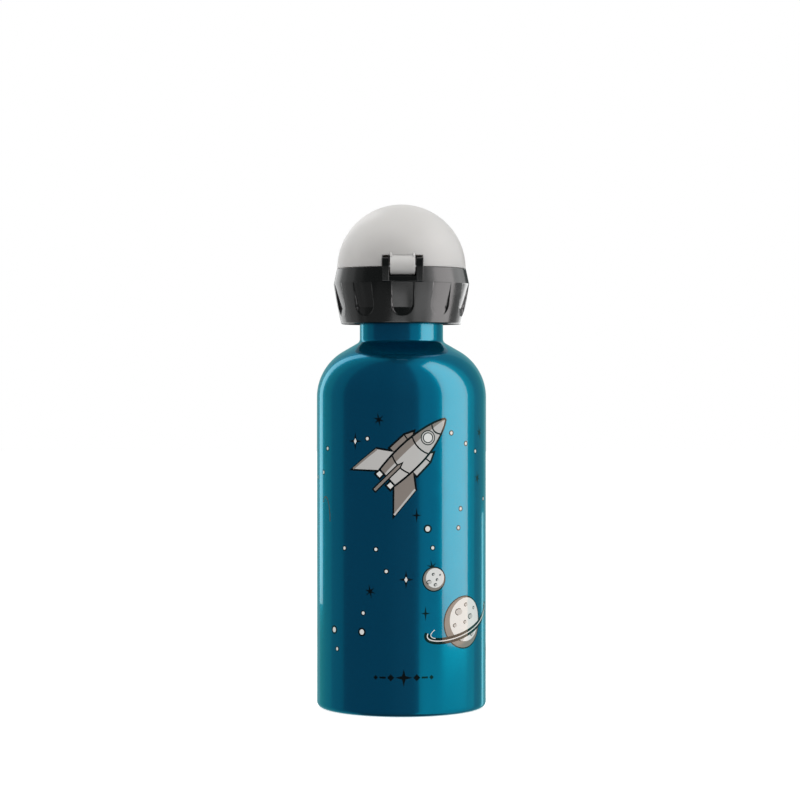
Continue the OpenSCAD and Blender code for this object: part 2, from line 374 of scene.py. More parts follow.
def vary_roughness(shader, node, link, place, scale, low, high):
    """Slow noise between two numbers, as the shader's roughness."""
    noise = node("ShaderNodeTexNoise", Scale=scale, Detail=3.0)
    spread = node("ShaderNodeMapRange")
    spread.inputs["From Min"].default_value = 0.3
    spread.inputs["From Max"].default_value = 0.7
    spread.inputs["To Min"].default_value = low
    spread.inputs["To Max"].default_value = high
    link(place.outputs["Object"], noise.inputs["Vector"])
    link(noise.outputs["Fac"], spread.inputs["Value"])
    link(spread.outputs["Result"], shader.inputs["Roughness"])


def mix_colours(shader, node, link, dark, light, factor):
    """Base colour between two colours, by another node's output."""
    mix = node("ShaderNodeMix")
    mix.data_type = "RGBA"
    mix.inputs["A"].default_value = (*dark, 1)
    mix.inputs["B"].default_value = (*light, 1)
    link(factor, mix.inputs["Factor"])
    link(mix.outputs["Result"], shader.inputs["Base Color"])


def paint_material():
    """Blue-green metallic lacquer under a clear gloss coat."""
    material, shader, node, link = new_material("bottle_paint")
    shader.inputs["Metallic"].default_value = 0.86
    shader.inputs["Specular Tint"].default_value = (0.0, 1, 1, 1)
    shader.inputs["Coat Weight"].default_value = 1.0
    shader.inputs["Coat Roughness"].default_value = 0.03
    shader.inputs["Coat IOR"].default_value = 1.5
    place = fine_bump(shader, node, link, 2600.0, 0.03)
    vary_roughness(shader, node, link, place, 140.0, 0.19, 0.23)
    flakes = node("ShaderNodeTexVoronoi", Scale=4200.0)
    link(place.outputs["Object"], flakes.inputs["Vector"])
    mix_colours(shader, node, link, (0.0, 0.225, 0.44), (0.0, 0.24, 0.48), flakes.outputs["Color"])
    return material


def lining_material():
    """Thin lacquer over bare aluminium, inside the bottle."""
    material, shader, node, link = new_material("bottle_lining")
    shader.inputs["Metallic"].default_value = 1.0
    place = fine_bump(shader, node, link, 900.0, 0.1)
    vary_roughness(shader, node, link, place, 300.0, 0.25, 0.4)
    noise = node("ShaderNodeTexNoise", Scale=120.0)
    link(place.outputs["Object"], noise.inputs["Vector"])
    mix_colours(shader, node, link, (0.62, 0.60, 0.55), (0.70, 0.67, 0.60), noise.outputs["Fac"])
    return material


def plastic_material(name, dark, light, rough, grain=0.06, subsurface=0.0, specular=0.5, coat=0.0):
    """Moulded plastic or silicone with fine grain and slight mottling."""
    material, shader, node, link = new_material(name)
    place = fine_bump(shader, node, link, 5200.0, grain)
    vary_roughness(shader, node, link, place, 260.0, rough - 0.03, rough + 0.03)
    noise = node("ShaderNodeTexNoise", Scale=90.0, Detail=4.0)
    link(place.outputs["Object"], noise.inputs["Vector"])
    mix_colours(shader, node, link, dark, light, noise.outputs["Fac"])
    if subsurface:
        shader.inputs["Subsurface Weight"].default_value = subsurface
        shader.inputs["Subsurface Radius"].default_value = (1.0, 0.95, 0.9)
        shader.inputs["Subsurface Scale"].default_value = 0.003
    shader.inputs["Specular IOR Level"].default_value = specular
    shader.inputs["Coat Weight"].default_value = coat
    shader.inputs["Coat Roughness"].default_value = 0.03
    return material


def shade_near(material, centre, near, far, level):
    """Painted shade: darken a material's colour round a point given in mm."""
    tree = material.node_tree
    shader = tree.nodes["Principled BSDF"]
    source = shader.inputs["Base Color"].links[0].from_socket
    place = tree.nodes.new("ShaderNodeTexCoord")
    gap = tree.nodes.new("ShaderNodeVectorMath")
    gap.operation = "DISTANCE"
    gap.inputs[1].default_value = centre * MM
    spread = tree.nodes.new("ShaderNodeMapRange")
    spread.interpolation_type = "SMOOTHSTEP"
    spread.inputs["From Min"].default_value = near * MM
    spread.inputs["From Max"].default_value = far * MM
    spread.inputs["To Min"].default_value = level
    spread.inputs["To Max"].default_value = 1.0
    darker = tree.nodes.new("ShaderNodeVectorMath")
    darker.operation = "SCALE"
    tree.links.new(place.outputs["Object"], gap.inputs[0])
    tree.links.new(gap.outputs["Value"], spread.inputs["Value"])
    tree.links.new(source, darker.inputs[0])
    tree.links.new(spread.outputs["Result"], darker.inputs["Scale"])
    tree.links.new(darker.outputs["Vector"], shader.inputs["Base Color"])


def steel_material():
    """Ground stainless steel."""
    material, shader, node, link = new_material("pin_steel")
    shader.inputs["Metallic"].default_value = 1.0
    shader.inputs["Base Color"].default_value = (0.6, 0.6, 0.62, 1)
    place = fine_bump(shader, node, link, 3000.0, 0.1)
    vary_roughness(shader, node, link, place, 400.0, 0.22, 0.34)
    return material


def ink_material(name, dark, light):
    """Printing ink under the bottle's clear coat."""
    return plastic_material(name, dark, light, rough=0.4, grain=0.02, specular=0.1, coat=1.0)


PAINT = paint_material()
LINING = lining_material()
DARK = plastic_material(
    "dark_plastic", dark=(0.003, 0.003, 0.0032), light=(0.004, 0.004, 0.0042),
    rough=0.2, grain=0.02, specular=1.0)
FROSTED, DOME = (
    plastic_material(
        name, dark=(0.66, 0.65, 0.64), light=(0.70, 0.69, 0.68), rough=0.42, grain=0.1, subsurface=0.5)
    for name in ("frosted_plastic", "frosted_dome_painted_shade")
)
# Painted shadow on the dome and its cheeks round the hinge, darkest next to the knuckle and lugs.
shade_near(DOME, Vector((-6, HINGE_Y, HINGE_Z - 1)), near=5, far=17, level=0.82)
KNUCKLE = plastic_material(
    "frosted_knuckle", dark=(0.58, 0.575, 0.57), light=(0.62, 0.615, 0.61), rough=0.35, subsurface=0.3)
SILICONE = plastic_material(
    "silicone", dark=(0.70, 0.70, 0.68), light=(0.76, 0.76, 0.74), rough=0.5, grain=0.08, subsurface=0.3)
RUBBER = plastic_material("black_rubber", dark=(0.012, 0.012, 0.012), light=(0.02, 0.02, 0.02), rough=0.5)
STEEL = steel_material()
INKS = {
    "black": ink_material("ink_black", (0.001, 0.0015, 0.002), (0.002, 0.0025, 0.003)),
    "white": ink_material("ink_white", (0.84, 0.84, 0.83), (0.88, 0.88, 0.87)),
    "grey": ink_material("ink_grey", (0.58, 0.57, 0.56), (0.63, 0.62, 0.61)),
    "shade": ink_material("ink_shade", (0.27, 0.235, 0.21), (0.30, 0.26, 0.235)),
    "brown": ink_material("ink_brown", (0.09, 0.045, 0.04), (0.11, 0.055, 0.05)),
}


# ---------------------------------------------------------------- the bottle


def bottle_outline():
    """Half-section of the bottle's wall, in mm."""
    shoulder_c = Vector((BODY_R - SHOULDER_R, BARREL_TOP))
    tilt = math.radians(SHOULDER_ANGLE)
    out = Vector((math.cos(tilt), math.sin(tilt)))
    along = Vector((-out.y, out.x))
    slope = shoulder_c + SHOULDER_R * out
    line = slope + NECK_FILLET * out
    fillet_c = line + along * (line.x - NECK_R - NECK_FILLET) / out.y
    inside = slope - WALL * out
    corner = inside + along * (inside.x - BORE_R) / out.y
    dome_r = (BASE_RECESS_R ** 2 + BASE_DOME_H ** 2) / (2 * BASE_DOME_H)
    dome_z = BASE_DOME_H - dome_r
    spread = 90 - math.degrees(math.asin(BASE_RECESS_R / dome_r))
    inner_r = BODY_R - WALL
    inner_edge_r = BASE_EDGE_R - WALL
    floor_z = BASE_FLOOR + inner_edge_r
    painted = (
        [(0.0, BASE_DOME_H)]
        + arc(0, dome_z, dome_r, 90, spread, 12)[1:]
        + arc(BODY_R - BASE_EDGE_R, BASE_EDGE_R, BASE_EDGE_R, -90, 0, 10)
        + arc(*shoulder_c, SHOULDER_R, 0, SHOULDER_ANGLE, 40)
        + arc(*fillet_c, NECK_FILLET, SHOULDER_ANGLE - 180, -180, 12)
        + arc(NECK_R - LIP_R, LIP_TOP - LIP_R, LIP_R, 0, 90, 6)
    )
    lined = (
        [(BORE_R + LIP_CHAMFER, LIP_TOP), (BORE_R, LIP_TOP - LIP_CHAMFER), tuple(corner)]
        + arc(*shoulder_c, SHOULDER_R - WALL, SHOULDER_ANGLE, 0, 24)
        + arc(inner_r - inner_edge_r, floor_z, inner_edge_r, 0, -90, 6)
        + arc(0, dome_z, dome_r + BASE_FLOOR, spread, 90, 10)[:-1]
        + [(0.0, BASE_DOME_H + BASE_FLOOR)]
    )
    return painted + lined


def build_bottle():
    """The drawn metal bottle: paint outside, lacquered metal inside."""
    bottle = lathe("bottle", bottle_outline(), PAINT, steps=288, sharp=35.0)
    bottle.data.materials.append(LINING)
    # The lining starts just under the lip's outer edge and covers the wall and the floor inside.
    for polygon in bottle.data.polygons:
        centre = polygon.center / MM
        radius = math.hypot(centre.x, centre.y)
        inward = polygon.normal.x * centre.x + polygon.normal.y * centre.y < -0.02
        on_wall = inward and centre.z > 1.2 and radius < BODY_R - WALL / 2
        on_floor = 3.3 < centre.z < 6 and polygon.normal.z > 0.7 and radius < BODY_R - 1.4
        if on_wall or on_floor or centre.z > LIP_TOP - 1.0:
            polygon.material_index = 1
    thread = ridge("neck_thread", BORE_R + THREAD_ROOT, NECK_CREST_R, LINING)
    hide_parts("bottle_shell")
    for piece in (bottle, thread):
        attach(piece, "bottle")


# ---------------------------------------------------------------- the print
# Flat outlines in (u, z): u runs round the barrel to the right from the front.

PRINT_STEP = 1.2
LAYER = 0.008
FILM_LIFT = 0.012
FILM_DEPTH = 0.05
OUTLINE = 0.75
THIN_LINE = 0.3
ROCKET_AT = (3.0, 95.0)
ROCKET_LEAN = 44.0
PLANET_AT = (45.5, 34.0)
PLANET_R = 9.4
RING_LEAN = 16.0
ORNAMENT_AT = (0.5, 14.6)


def round_to(azimuth):
    """Distance round the barrel for an azimuth in degrees."""
    return math.radians(azimuth) * BODY_R


def placed(outline, azimuth, z, turn=0.0, size=1.0):
    """An outline scaled, turned in degrees and moved to its place."""
    c, s = math.cos(math.radians(turn)) * size, math.sin(math.radians(turn)) * size
    u = round_to(azimuth)
    return [(u + a * c - b * s, z + a * s + b * c) for a, b in outline]


def ellipse(a, b, start=0.0, end=360.0, steps=40):
    """Points of an ellipse, without its last point when it is whole."""
    count = steps if end - start < 360 else steps - 1
    angles = [math.radians(start + (end - start) * i / steps) for i in range(count + 1)]
    return [(a * math.cos(t), b * math.sin(t)) for t in angles]


def star(rays, long_r, wide_r, waist):
    """Star whose upright rays are long_r and whose other rays are wide_r."""
    points = []
    for i in range(2 * rays):
        angle = math.pi / 2 + math.pi * i / rays
        r = waist if i % 2 else (long_r if abs(math.cos(angle)) < 0.1 else wide_r)
        points.append((r * math.cos(angle), r * math.sin(angle)))
    return points


def grown(outline, by):
    """An outline moved outward, with its sharp corners cut short."""
    area = sum(a[0] * b[1] - b[0] * a[1] for a, b in zip(outline, outline[1:] + outline[:1]))
    side = math.copysign(by, area)
    points = []
    for i, here in enumerate(outline):
        here = Vector(here)
        back = (here - Vector(outline[i - 1])).normalized()
        ahead = (Vector(outline[(i + 1) % len(outline)]) - here).normalized()
        middle = Vector((back.y + ahead.y, -back.x - ahead.x))
        reach = min(2.5, 2 / max(middle.length, 0.1))
        points.append(tuple(here + middle.normalized() * side * reach))
    return points


def stroke(line, width):
    """Outline of a line of the given width."""
    left = []
    right = []
    for i, here in enumerate(line):
        here = Vector(here)
        along = (Vector(line[min(i + 1, len(line) - 1)]) - Vector(line[max(i - 1, 0)])).normalized()
        across = Vector((-along.y, along.x)) * width / 2
        left.append(tuple(here + across))
        right.append(tuple(here - across))
    return right + left[::-1]


def print_piece(name, shapes, material):
    """Thin closed film on the barrel from (outline, layer) shapes."""
    outer = []
    inner = []
    faces = []
    for outline, layer in shapes:
        sheet = bmesh.new()
        face = sheet.faces.new([sheet.verts.new((u, z, 0)) for u, z in outline])
        face.normal_update()
        if face.normal.z < 0:
            face.normal_flip()
        bmesh.ops.triangulate(sheet, faces=sheet.faces[:])
        low = min(u for u, z in outline)
        high = max(u for u, z in outline)
        for k in range(1, math.ceil((high - low) / PRINT_STEP)):
            everything = sheet.verts[:] + sheet.edges[:] + sheet.faces[:]
            bmesh.ops.bisect_plane(
                sheet, geom=everything, dist=1e-5, plane_co=(low + k * PRINT_STEP, 0, 0), plane_no=(1, 0, 0))
        bmesh.ops.triangulate(sheet, faces=sheet.faces[:])
        sheet.verts.index_update()
        start = len(outer)
        for v in sheet.verts:
            angle = v.co.x / BODY_R
            for points, r in ((outer, BODY_R + FILM_LIFT + LAYER * layer), (inner, BODY_R - FILM_DEPTH)):
                points.append((r * math.sin(angle), -r * math.cos(angle), v.co.y))
        faces += [[start + v.index for v in f.verts] for f in sheet.faces]
        sheet.free()
    piece = shell(name, outer, inner, faces, material)
    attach(piece, "bottle")


def rocket(inks):
    """A generic rocket flying up to the right."""
    def put(ink, outline, layer):
        inks[ink].append((placed(outline, *ROCKET_AT, ROCKET_LEAN), layer))

    def half_width(s):
        if s > 1:
            return girth * (1 - ((s - 1) / 19) ** 2) ** 0.8
        return girth - 0.006 * (s - 1) ** 2

    girth, tail, length, parts = 4.5, -10, 29.9, 28
    steps = [tail + length * i / parts for i in range(parts + 1)]
    hull = [(s, -half_width(s)) for s in steps] + [(s, half_width(s)) for s in reversed(steps)]
    shade = [(s, half_width(s) * 0.45) for s in steps] + [(s, half_width(s)) for s in reversed(steps)]
    for side in (1, -1):
        fin = [(-1.5, 4.2 * side), (-6, 10.2 * side), (-18, 11.6 * side), (-10.5, 4.0 * side)]
        pod = [(-2, 4 * side), (-2, 7.0 * side), (5, 6.8 * side), (8, 5.4 * side), (6, 4 * side)]
        nozzle = 2.9 * side
        jet = [(-12.4, nozzle - 0.9), (-12.4, nozzle + 0.9), (-9.8, nozzle + 0.8), (-9.8, nozzle - 0.8)]
        for outline in (fin, pod, jet):
            put("black", grown(outline, OUTLINE), 0)
        near, off = ("grey", "shade") if side > 0 else ("shade", "grey")
        put(near, fin, 1)
        put(off, stroke([fin[1], fin[2]], 0.7), 2)
        put(off, pod, 1)
        put("black", stroke([(4.6, 4.2 * side), (5, 6.8 * side)], 0.5), 2)
        put("white", jet, 1)
    put("black", grown(hull, OUTLINE), 2)
    put("grey", hull, 3)
    put("shade", shade, 4)
    for s in (-3.5, 6.5, 15.0):
        w = half_width(s)
        seam = [(s - 1 + t * t, t * w) for t in (-1, -0.7, -0.35, 0, 0.35, 0.7, 1)]
        put("black", stroke(seam, 0.55), 5)
    keel = [(-17, -0.5), (-17, 0.5), (-4.5, 0.45), (-3.2, 0), (-4.5, -0.45)]
    put("black", grown(keel, 0.5), 5)
    put("shade", keel, 6)
    porthole = 10.6
    for radius, ink, layer in ((2.75, "black", 6), (2.4, "grey", 7), (1.95, "black", 8), (1.6, "white", 9)):
        put(ink, [(a + porthole, b) for a, b in ellipse(radius, radius)], layer)


def planets(inks):
    """A cratered planet with a ring, and two plain moons apart from it."""
    def body(azimuth, z, radius, craters):
        inks["black"].append((placed(ellipse(radius + 0.45, radius + 0.45), azimuth, z), 0))
        inks["shade"].append((placed(ellipse(radius, radius), azimuth, z), 1))
        lit = [(a + 0.1 * radius, b + 0.1 * radius) for a, b in ellipse(0.86 * radius, 0.86 * radius)]
        inks["white"].append((placed(lit, azimuth, z), 2))
        for along, up, r in craters:
            pit = [(a + along * radius, b + up * radius) for a, b in ellipse(r, 0.7 * r, steps=24)]
            brim = [(a + along * radius, b + up * radius) for a, b in ellipse(r, 0.7 * r, 60, 260, 16)]
            inks["grey"].append((placed(pit, azimuth, z), 3))
            inks["black"].append((placed(stroke(brim, THIN_LINE), azimuth, z), 4))

    body(*PLANET_AT, PLANET_R, (
        (-0.3, 0.42, 1.7), (0.38, 0.2, 1.3), (-0.5, -0.1, 0.9), (0.05, 0.0, 0.8), (0.1, 0.68, 0.9),
        (0.5, -0.5, 1.1), (-0.15, -0.62, 1.5), (0.62, 0.52, 0.7),
    ))
    body(21.0, 50.5, 4.2, (
        (-0.05, 0.42, 0.6), (-0.45, -0.25, 1.0), (0.3, -0.05, 0.5), (0.15, -0.5, 0.7), (0.6, 0.35, 0.35),
    ))
    body(86.0, 21.0, 2.6, ((0.1, 0.25, 0.7), (-0.3, -0.4, 0.5)))
    for width, ink, layer in ((2.4, "black", 5), (0.4, "white", 6)):
        ring = ellipse(17.0, 4.4, 165, 375, 48)
        inks[ink].append((placed(stroke(ring, width), *PLANET_AT, RING_LEAN), layer))
    inner_ring = ellipse(15.6, 3.4, 150, 205, 20)
    inks["white"].append((placed(stroke(inner_ring, THIN_LINE), *PLANET_AT, RING_LEAN), 6))


def starfield(inks):
    """Stars and dots: listed one by one in front, scattered behind."""
    def sparkle(azimuth, z, size=1.0):
        inks["black"].append((placed(star(4, 3.4, 2.8, 0.75), azimuth, z, 0, size), 0))
        inks["white"].append((placed(star(2, 1.1, 1.1, 0.6), azimuth, z, 0, size), 1))

    def asterisk(azimuth, z, size=1.0):
        inks["black"].append((placed(star(6, 2.8, 2.3, 0.65), azimuth, z, 12, size), 0))

    def cross(azimuth, z, size=1.0):
        inks["black"].append((placed(star(4, 2.8, 1.8, 0.5), azimuth, z, 0, size), 0))

    def dot(azimuth, z, size=1.0):
        inks["black"].append((placed(ellipse(1.0, 1.0, steps=20), azimuth, z, 0, size), 0))
        inks["white"].append((placed(ellipse(0.58, 0.62, steps=20), azimuth, z, 0, size), 1))

    in_front = (
        (sparkle, ((-33, 101), (2, 50.5))),
        (asterisk, ((-16, 109), (-22, 46), (19.5, 55), (64, 104), (61, 87))),
        (cross, ((9, 74), (15, 38))),
        (dot, (
            (-24, 102), (-60, 98), (34, 104), (47, 100), (58, 97), (72, 79), (42, 76), (40, 69),
            (-42, 61.5), (-18, 61.5), (20, 62), (-11, 53.5), (-27, 38), (-66, 89), (-49, 24),
        )),
    )
    for draw, places in in_front:
        for azimuth, z in places:
            draw(azimuth, z)
    for azimuth, z in ((16.5, 69), (-28, 31), (-52, 31)):
        dot(azimuth, z, 1.6)
    chance = random.Random(7)
    count, first, spread = 54, 84, 196
    low, height, golden = 14, 96, 0.618
    for i in range(count):
        azimuth = first + i * spread / (count - 1)
        z = low + height * ((i * golden) % 1) + chance.uniform(-2, 2)
        chance.choice((dot, dot, dot, sparkle, asterisk, cross))(azimuth, z, chance.uniform(0.8, 1.2))
    trail = ellipse(3.4, 9.0, 0, 130, 20)
    inks["brown"].append((placed(stroke(trail, 0.5), -63.0, 71.0), 0))


def ornament(inks):
    """Plain row of a star, diamonds and bars near the base."""
    shapes = [star(4, 3.2, 3.2, 0.9)]
    for side in (1, -1):
        for along, r in ((4.8, 1.3), (10.4, 0.9)):
            shapes.append([(along * side + a, b) for a, b in star(2, r, r, r)])
        shapes.append(stroke([(6.6 * side, 0), (9.0 * side, 0)], 0.7))
    for shape in shapes:
        inks["black"].append((placed(shape, *ORNAMENT_AT), 0))


def build_print():
    """The printed space motifs, one film for each ink."""
    inks = {name: [] for name in INKS}
    for draw in (rocket, planets, starfield, ornament):
        draw(inks)
    for name, shapes in inks.items():
        print_piece("print_" + name, shapes, INKS[name])


# ---------------------------------------------------------------- the collar


def collar_radius(z):
    """Outer radius of the plain collar at height z."""
    if z <= WAIST_Z:
        t = (z - FOOT_Z) / (WAIST_Z - FOOT_Z)
        return FOOT_R + (WAIST_R - FOOT_R) * t + COLLAR_BULGE * 4 * t * (1 - t)
    return WAIST_R + (RIM_R - WAIST_R) * (z - WAIST_Z) / (RIM_Z - WAIST_Z)


def smooth_min(a, b, width):
    """Smaller of two numbers, with the corner between them rounded."""
    h = max(width - abs(a - b), 0.0) / width
    return min(a, b) - h * h * width / 4


def scallop_cut(angle, z):
    """Depth of the finger scallops at an angle from the front, in mm."""
    pitch = 2 * math.pi / SCALLOPS
    off = (angle + pitch / 2) % pitch - pitch / 2
    across = off * collar_radius(z)
    half = SCALLOP_W / 2
    centre_z = SCALLOP_LOW + half
    if z >= centre_z:
        inset = half - abs(across)
    else:
        inset = half - math.hypot(across, z - centre_z)
    if z >= SCALLOP_FLOOR_END:
        t = (SCALLOP_TOP - z) / (SCALLOP_TOP - SCALLOP_FLOOR_END)
        floor = SCALLOP_STEP + (SCALLOP_DEPTH - SCALLOP_STEP) * t
    else:
        floor = SCALLOP_DEPTH * (z - SCALLOP_LOW) / (SCALLOP_FLOOR_END - SCALLOP_LOW)
    wall = SCALLOP_WALL_SLOPE * min(inset, SCALLOP_TOP + SCALLOP_STEP - z)
    return max(0.0, smooth_min(floor, wall, 0.2))


def notch_warp(angle, radius, edge):
    """Angle moved so that the notch's edge columns stand straight up."""
    target = math.asin(NOTCH_HALF / radius)
    reach = math.radians(8)
    weight = max(0.0, 1 - abs(abs(angle) - edge) / reach)
    return angle + math.copysign(1, angle) * (target - edge) * weight


def fractions(count):
    """Even steps from 0 to 1."""
    return [i / count for i in range(count + 1)]


def build_collar():
    """Outer grip collar: cones, scallops and the notch for the hinge."""
    columns, edge = COLLAR_COLUMNS, COLLAR_NOTCH_EDGE
    low, high = FOOT_Z + 0.45, SCALLOP_TOP - SCALLOP_STEP
    lower = [low + (high - low) * t for t in fractions(84)]
    lower += [SCALLOP_TOP, WAIST_Z]
    upper = [WAIST_Z + (RIM_Z - WAIST_Z) * t for t in (0.03, 0.2, 0.5, 0.8, 0.95, 1.0)]
    foot = [(FOOT_R - 0.5, FOOT_Z), (FOOT_R - 0.25, FOOT_Z + 0.05), (FOOT_R - 0.05, FOOT_Z + 0.2)]
    rows = [(r, z, "foot") for r, z in foot] + [(collar_radius(z), z, "grip") for z in lower]
    rows += [(collar_radius(z), z, "rim") for z in upper]
    outer = []
    inner = []
    for r, z, zone in rows:
        for k in range(columns):
            angle = 2 * math.pi * k / columns
            if angle > math.pi:
                angle -= 2 * math.pi
            turned = notch_warp(angle, r, edge)
            radius = r - (scallop_cut(turned, z) if zone == "grip" else 0)
            deep = min(r - SKIRT_WALL, RIM_INNER_R) if z > WAIST_Z else r - SKIRT_WALL
            x, y = math.sin(turned), -math.cos(turned)
            outer.append((radius * x, radius * y, z))
            inner.append((deep * x, deep * y, z))
    faces = []
    for j in range(len(rows) - 1):
        for k in range(columns):
            middle = (k + 0.5) * 2 * math.pi / columns
            middle = min(middle, 2 * math.pi - middle)
            if rows[j + 1][2] == "rim" and middle < edge:
                continue
            n = (k + 1) % columns
            faces.append([j * columns + k, j * columns + n, (j + 1) * columns + n, (j + 1) * columns + k])
    collar = shell("collar", outer, inner, faces, DARK, sharp=60.0)
    soften(collar, 0.15, 3, 60.0)
    ledge = lathe("collar_ledge", rounded([
        (LEDGE_R, LEDGE_LOW, 0.2), (LEDGE_OUT_R, LEDGE_LOW, 0),
        (LEDGE_OUT_R, LEDGE_TOP, 0), (LEDGE_R, LEDGE_TOP, 0.2),
    ]), DARK)
    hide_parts("grip_collar")
    for piece in (collar, ledge):
        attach(piece, "cap")


# ---------------------------------------------------------------- the core


def build_core():
    """Screw plug, deck, spout tower and hinge lugs."""
    groove = mouth_low.z + GROOVE_UP
    head = groove + GROOVE_H + 0.8
    outside = [
        (PLUG_BORE_R, PLUG_LOW, 0.3), (PLUG_R, PLUG_LOW, 0.4), (PLUG_R, LIP_TOP - 1, 0),
        (PLUG_TOP_R, LIP_TOP - 0.5, 0), (PLUG_TOP_R, SEAT_Z, 0),
        (FLANGE_R, SEAT_Z, 0.4), (FLANGE_R, LEDGE_TOP, 0),
        (DECK_R, LEDGE_TOP, 0.2), (DECK_R, DECK_TOP, 0.3), (TOWER_R + 0.3, DECK_TOP, 0),
        (TOWER_R, DECK_TOP + 0.4, 0.3), (TOWER_R, groove - 0.8, 0.2), (TOWER_HEAD_R, groove - 0.8, 0.2),
        (TOWER_HEAD_R, groove, 0.15), (GROOVE_R, groove, 0.1), (GROOVE_R, groove + GROOVE_H, 0.1),
        (TOWER_HEAD_R, groove + GROOVE_H, 0.15), (TOWER_HEAD_R - 0.2, head, 0.3),
    ]
    inside = [
        (TOWER_BORE_R, head, 0.3), (TOWER_BORE_R, CEILING, 0.3), (CELLAR_R, CEILING, 0.4),
        (CELLAR_R, CEILING - 0.8, 0.3), (PLUG_BORE_R, SEAT_Z, 0.5),
    ]
    core = lathe("core", rounded(outside + inside), DARK)
    thread = ridge("plug_thread", PLUG_R - THREAD_ROOT, PLUG_CREST_R, DARK, start=180.0)
    foot = Vector((LUG_FRONT - HINGE_Y, LUG_FOOT - HINGE_Z))
    touch = math.degrees(math.atan2(foot.y, foot.x)) + 360 - math.degrees(math.acos(LUG_R / foot.length))
    lug = [(HINGE_Y + LUG_R, LUG_FOOT)] + arc(HINGE_Y, HINGE_Z, LUG_R, 0, touch, 28) + [(LUG_FRONT, LUG_FOOT)]
    left = soften(prism("hinge_lug_left", lug, -LUG_OUT, -LUG_IN, DARK), 0.22, 3, 30.0)
    right = soften(prism("hinge_lug_right", lug, LUG_IN, LUG_OUT, DARK), 0.22, 3, 30.0)
    sill_top = LUG_FOOT + 2
    sill = [(LUG_FRONT, LUG_FOOT), (LUG_BACK, LUG_FOOT), (LUG_BACK, sill_top), (LUG_FRONT, sill_top)]
    bridge = soften(prism("hinge_bridge", sill, -LUG_OUT + 0.1, LUG_OUT - 0.1, DARK), 0.2, 3, 30.0)
    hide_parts("cap_core")
    for piece in (core, thread, left, right, bridge):
        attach(piece, "cap")


# ---------------------------------------------------------------- the dome


def build_dome():
    """Domed cover with its notch, knuckle, thumb tab and snap tongue."""
    columns = DOME_COLUMNS
    step = 2 * math.pi / columns
    edge = step * 15.5
    notch_lift = math.asin((NOTCH_TOP - DOME_Z) / DOME_R)
    low = [notch_lift * t for t in fractions(6)][:-1]
    high = [notch_lift + (math.pi / 2 - notch_lift) * t for t in fractions(60)][:-1]
    deep = (DOME_R - DOME_WALL) / DOME_R
    outer = []
    inner = []
    for lift in low + high:
        r = DOME_R * math.cos(lift)
        rise = DOME_R * math.sin(lift)
        for k in range(columns):
            angle = (k + 0.5) * step
            if angle > math.pi:
                angle -= 2 * math.pi
            near = notch_warp(angle, r, edge) if r > WARP_LEAST_R else angle
            x, y = r * math.sin(near), -r * math.cos(near)
            outer.append((x, y, DOME_Z + rise))
            inner.append((x * deep, y * deep, DOME_Z + rise * deep))
    rows = len(low) + len(high)
    outer.append((0, 0, DOME_Z + DOME_R))
    inner.append((0, 0, DOME_Z + DOME_R - DOME_WALL))
    faces = []
    for j in range(rows - 1):
        for k in range(columns):
            middle = (k + 1) * step
            middle = min(middle, 2 * math.pi - middle)
            if j < len(low) and middle < edge - step / 4:
                continue
            n = (k + 1) % columns
            faces.append([j * columns + k, j * columns + n, (j + 1) * columns + n, (j + 1) * columns + k])
    last = (rows - 1) * columns
    for k in range(columns):
        faces.append([last + k, last + (k + 1) % columns, len(outer) - 1])
    dome = shell("dome", outer, inner, faces, DOME, sharp=50.0)
    soften(dome, 0.15, 3, 50.0)
    barrel = (
        arc(HINGE_Y, HINGE_Z, KNUCKLE_R, 95, 360, 40)
        + [(-20.6, HINGE_Z + 3.4), (-21.6, HINGE_Z + 6.3), (-22.9, HINGE_Z + 6.3)]
    )
    knuckle = soften(prism("dome_knuckle", barrel, -KNUCKLE_HALF, KNUCKLE_HALF, KNUCKLE), 0.35, 3, 30.0)
    pieces = [dome, knuckle]
    cheek = [
        (HINGE_Y + y, HINGE_Z + z)
        for y, z in ((-2.2, 2), (1.8, 2), (1.8, 5.6), (0.2, 4.9), (-1.0, 4.2), (-1.9, 3.4))
    ]
    thick = 0.8
    for side, x in (("left", -KNUCKLE_HALF), ("right", KNUCKLE_HALF - thick)):
        pieces.append(soften(prism("dome_cheek_" + side, cheek, x, x + thick, DOME), 0.2, 3, 30.0))
    pieces.append(arc_block("dome_thumb_tab", 22.9, 26.6, DOME_Z + 0.25, DOME_Z + 2.05, 0.5))
    pieces.append(arc_block("dome_tongue", 21.2, 22.2, DOME_Z - 1.65, DOME_Z + 1.6, 0.25))
    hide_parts("dome_cover")
    for piece in pieces:
        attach(piece, "dome")


def arc_block(name, r0, r1, z0, z1, edge):
    """Curved block of the dome, opposite the hinge."""
    steps = 24
    vertices = []
    for i in range(steps + 1):
        x = -TAB_HALF + 2 * TAB_HALF * i / steps
        for r, z in ((r0, z0), (r1, z0), (r1, z1), (r0, z1)):
            vertices.append((x, math.sqrt(r * r - x * x), z))
    faces = [[0, 1, 2, 3], [4 * steps + k for k in (3, 2, 1, 0)]]
    for i in range(steps):
        for k in range(4):
            n = (k + 1) % 4
            faces.append([4 * i + k, 4 * i + 4 + k, 4 * i + 4 + n, 4 * i + n])
    return soften(finish_mesh(name, vertices, outward(vertices, faces), DOME), edge, 4, 50.0)


# ---------------------------------------------------------------- the spout


